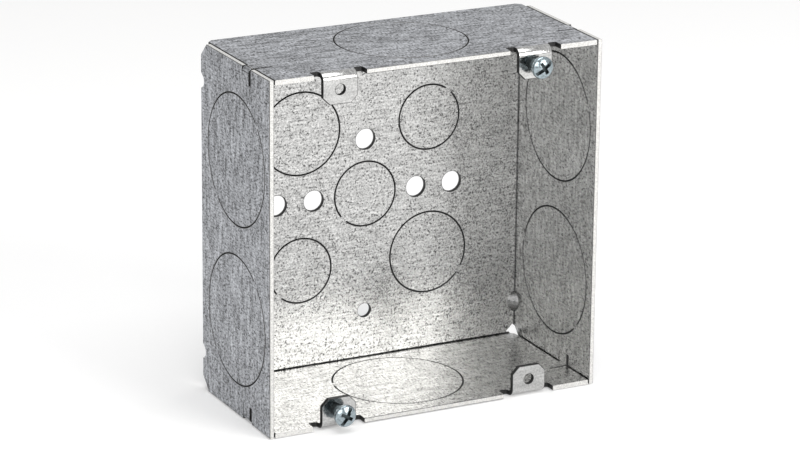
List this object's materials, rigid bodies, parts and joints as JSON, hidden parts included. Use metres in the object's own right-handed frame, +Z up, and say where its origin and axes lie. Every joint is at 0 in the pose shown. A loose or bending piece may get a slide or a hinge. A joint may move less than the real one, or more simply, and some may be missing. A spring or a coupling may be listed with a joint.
{
  "type": "square electrical box",
  "caption": "Square electrical box folded from galvanised sheet, with round knockouts in its walls and back, fixing holes, and inward ears threaded for cover screws.",
  "frame": {"origin": "middle of the back's outer face, which lies against the wall", "axes": "+X to the right seen from the open front, +Y into the wall, +Z up"},
  "size_m": [0.119, 0.0603, 0.119],
  "materials": {
    "galvanised_sheet": "galvanised, satin, with fine rolling lines",
    "zinc_plate": "bright zinc plate with a faint blue cast"
  },
  "bodies": {
    "root": {"box_body": "galvanised_sheet", "cover_screws": "zinc_plate"}
  },
  "joints": []
}
